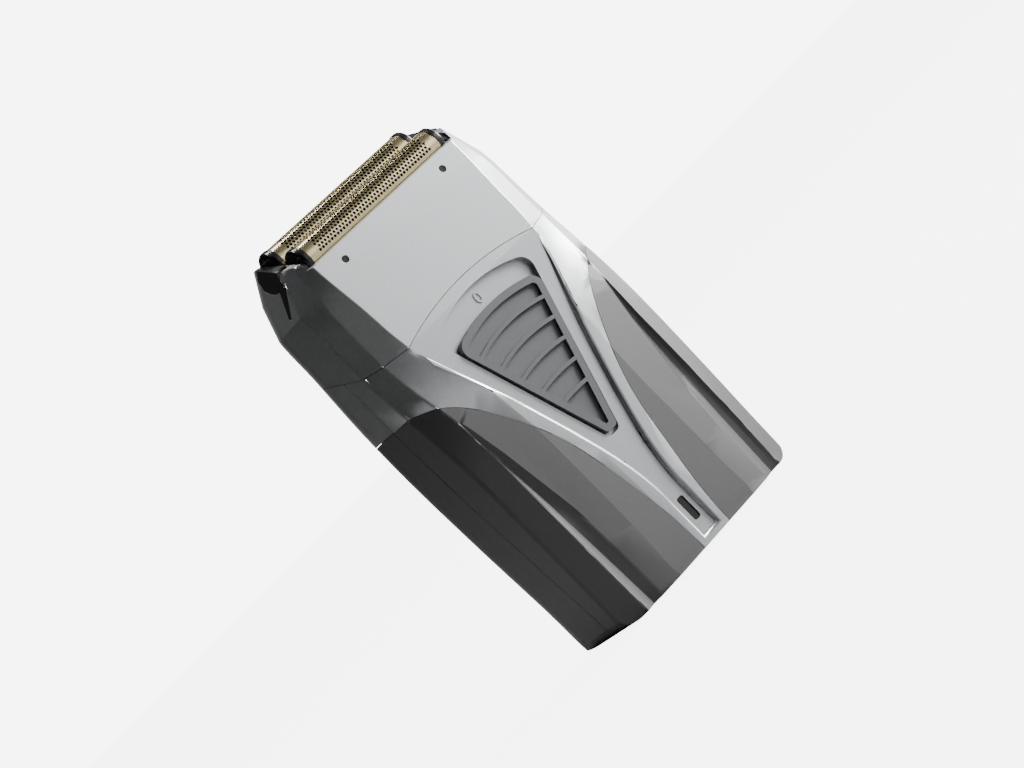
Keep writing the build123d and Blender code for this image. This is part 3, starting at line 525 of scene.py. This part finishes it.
def add_quad(points, faces, low_x, high_x, low_y, high_y):
    """One plain rectangle of sheet."""
    first = len(points)
    points += [(low_x, low_y), (high_x, low_y), (high_x, high_y), (low_x, high_y)]
    faces.append((first, first + 1, first + 2, first + 3))


def add_row_ends(points, faces, middle_y, row_end):
    """Plain margin at both ends of a row of holes, out to the foil's ends."""
    full_end = HOLES_IN_ROW * HOLE_PITCH / 2
    steps = [row_end, full_end, FOIL_HALF] if row_end < full_end else [full_end, FOIL_HALF]
    for low_x, high_x in zip(steps, steps[1:]):
        for low_y, high_y in ((-ROW_PITCH / 2, 0), (0, ROW_PITCH / 2)):
            add_quad(points, faces, low_x, high_x, middle_y + low_y, middle_y + high_y)
            add_quad(points, faces, -high_x, -low_x, middle_y + low_y, middle_y + high_y)


def add_skirts(points, faces):
    """Plain strips beside the rows of holes, finely divided where they still bend."""
    bend = [holes_edge + (quarter_arc - holes_edge) * i / SKIRT_STEPS for i in range(SKIRT_STEPS + 1)]
    levels = bend + [quarter_arc + SKIRT]
    quarters = HOLES_IN_ROW * 4
    full_end = HOLES_IN_ROW * HOLE_PITCH / 2
    edges = [-FOIL_HALF] + [-full_end + i * HOLE_PITCH / 4 for i in range(quarters + 1)] + [FOIL_HALF]
    for low_x, high_x in zip(edges, edges[1:]):
        for low_y, high_y in zip(levels, levels[1:]):
            add_quad(points, faces, low_x, high_x, low_y, high_y)
            add_quad(points, faces, low_x, high_x, -high_y, -low_y)


sheet_points, sheet_faces = flat_sheet()
print("flat sheet:", len(sheet_points), "points,", len(sheet_faces), "faces")

# %% [markdown]
# The sheet's width becomes arc length on the arch, and what is left beyond the quarter turn hangs straight.
# Solidify then gives the thickness inwards, towards the cutters,
# so the outer face stays where the CAD has it.

# %% Wrapping the sheet round its arch
FOIL_ANGLE = 35


def wrapped(x, y, across):
    """Where a point of the flat sheet goes on the arch, in the shaver's frame."""
    if abs(y) <= quarter_arc:
        angle = y / ARCH_RADIUS
        side, height = ARCH_RADIUS * math.sin(angle), ARCH_RADIUS * math.cos(angle)
    else:
        side, height = math.copysign(ARCH_RADIUS, y), quarter_arc - abs(y)
    return FOIL_ORIGIN + x * Vector((1, 0, 0)) + (across + side) * BACKWARDS + height * OUTWARDS


def perforated_foil(name, across):
    """One perforated foil that stands for its plain CAD sheet."""
    mesh = bpy.data.meshes.new(name)
    mesh.from_pydata([wrapped(x, y, across) for x, y in sheet_points], [], sheet_faces)
    piece = bpy.data.objects.new(name, mesh)
    bpy.context.scene.collection.objects.link(piece)
    select_only(piece)
    bpy.ops.object.mode_set(mode="EDIT")
    bpy.ops.mesh.select_all(action="SELECT")
    bpy.ops.mesh.remove_doubles(threshold=MERGE)
    bpy.ops.mesh.normals_make_consistent(inside=False)
    bpy.ops.object.mode_set(mode="OBJECT")
    wall = piece.modifiers.new("thickness", "SOLIDIFY")
    wall.thickness = SHEET
    wall.offset = -1
    bpy.ops.object.modifier_apply(modifier=wall.name)
    bpy.ops.object.shade_smooth_by_angle(angle=math.radians(FOIL_ANGLE))
    piece.data.materials.append(gold_foil)
    return piece


for node_name, across in (("front_foil", -ARCH_SPACING / 2), ("rear_foil", ARCH_SPACING / 2)):
    foil = perforated_foil(node_name + "_perforated", across)
    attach(foil, body_of_node[node_name])
    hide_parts(node_name)
    print(foil.name, len(foil.data.polygons), "faces")

# %% [markdown]
# The springs between the drive and the cutters shorten when a foil is pressed.
# Each gets a smooth copy with a mesh of its own.

# %% Smooth copies of the springs
SPRING_ANGLE = 60
for node_name, joint, across in (
    ("front_cutter_spring", "front_cutter_float", -ARCH_SPACING / 2),
    ("rear_cutter_spring", "rear_cutter_float", ARCH_SPACING / 2),
):
    spring = smooth_copy(node_name, SPRING_ANGLE)
    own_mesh(spring)

# %% [markdown]
# The floor is a large sheet of paper just under the base. It is mid-grey to everything it lights,
# so that little light bounces up onto the dark side. A glow that only the camera sees makes it look white.

# %% Floor
FLOOR_SIZE = 6.0
FLOOR_GAP = 0.5 * MM
FIBRE_SIZE = 40
PAPER_GLOW = 6.0
bpy.ops.object.select_all(action="DESELECT")
bpy.ops.mesh.primitive_plane_add(size=FLOOR_SIZE, location=(0, 0, -FLOOR_GAP))
floor = bpy.context.object
floor.name = "floor"
floor_finish, tree, shader, place = new_finish("white_studio_paper")
grain(tree, shader, place, FIBRE_SIZE, "7c7c7c", "848484", 0.0, (0.85, 0.95))
shader.inputs["Emission Color"].default_value = (1, 1, 1, 1)
direct = add_node(tree, "ShaderNodeLightPath").outputs["Is Camera Ray"]
glow = add_node(tree, "ShaderNodeMath", {1: PAPER_GLOW}, {0: direct}, operation="MULTIPLY")
tree.links.new(glow.outputs[0], shader.inputs["Emission Strength"])
floor.data.materials.append(floor_finish)
print("floor:", FLOOR_SIZE, "m across,", round(FLOOR_GAP / MM, 1), "mm under the base")

# %% [markdown]
# The world runs from black on the left to bright on the right, as in a studio with a black flag
# on one side, so that the paint's facets tell apart. It is bright in a band round the horizon
# and dark overhead, which gives the tops of the foils their dark stripe.
# The camera itself sees plain white behind the shaver.

# %% World light
world = bpy.data.worlds.new("studio")
bpy.context.scene.world = world
world.use_nodes = True
tree = world.node_tree
tree.nodes.clear()
direction = add_node(tree, "ShaderNodeTexCoord").outputs["Generated"]
parts = add_node(tree, "ShaderNodeSeparateXYZ", links={"Vector": direction})


def tone_ramp(axis, tones):
    """Grey ramp along one axis of the world's direction, from -1 to 1."""
    spread = add_node(
        tree, "ShaderNodeMapRange", {"From Min": -1.0, "From Max": 1.0}, {"Value": parts.outputs[axis]}
    )
    ramp = add_node(tree, "ShaderNodeValToRGB", links={"Fac": spread.outputs["Result"]})
    while len(ramp.color_ramp.elements) < len(tones):
        ramp.color_ramp.elements.new(0.5)
    for element, (position, tone) in zip(ramp.color_ramp.elements, tones):
        element.position = position
        element.color = (tone, tone, tone, 1)
    return ramp.outputs["Color"]


# Each tone: place along the ramp, and how bright.
SIDE_TONES = [(0.0, 0.0), (0.24, 0.0), (0.40, 0.06), (0.55, 0.20), (0.74, 0.48), (0.88, 1.6), (1.0, 3.6)]
HEIGHT_TONES = [(0.0, 0.5), (0.40, 0.8), (0.50, 1.0), (0.66, 1.0), (0.76, 0.06), (1.0, 0.06)]
WORLD_STRENGTH = 1.6
BACKDROP_STRENGTH = 7.0
tones = add_node(tree, "ShaderNodeMix", {0: 1.0}, data_type="RGBA", blend_type="MULTIPLY")
tree.links.new(tone_ramp("X", SIDE_TONES), tones.inputs[6])
tree.links.new(tone_ramp("Z", HEIGHT_TONES), tones.inputs[7])
studio = add_node(tree, "ShaderNodeBackground", {"Strength": WORLD_STRENGTH}, {"Color": tones.outputs[2]})
white = add_node(tree, "ShaderNodeBackground", {"Color": (1, 1, 1, 1), "Strength": BACKDROP_STRENGTH})
seen = add_node(tree, "ShaderNodeLightPath").outputs["Is Camera Ray"]
mixed = add_node(tree, "ShaderNodeMixShader", links={"Fac": seen})
tree.links.new(studio.outputs["Background"], mixed.inputs[1])
tree.links.new(white.outputs["Background"], mixed.inputs[2])
add_node(tree, "ShaderNodeOutputWorld", links={"Surface": mixed.outputs["Shader"]})
print("world nodes:", len(tree.nodes))

# %% [markdown]
# A square soft box, well round to the right, rakes across the front and makes the right grip lighter
# than the left. A long strip high up lights the tops of the foils.

# %% Lamps
def soft_box(name, place, aim, size, power):
    """Square area lamp at place, turned to face aim, all in metres and watts."""
    lamp = bpy.data.objects.new(name, bpy.data.lights.new(name, "AREA"))
    bpy.context.scene.collection.objects.link(lamp)
    lamp.data.shape = "RECTANGLE"
    lamp.data.size, lamp.data.size_y = size
    lamp.data.energy = power
    towards = Vector(aim) - Vector(place)
    lamp.matrix_world = Matrix.Translation(place) @ towards.to_track_quat("-Z", "Y").to_matrix().to_4x4()
    return lamp


soft_box("key", (0.85, -0.38, 0.36), (0, 0, 0.06), (0.4, 0.4), 27)
soft_box("top_strip", (0.0, 0.10, 0.80), (0, 0, 0.1), (0.7, 0.10), 9)
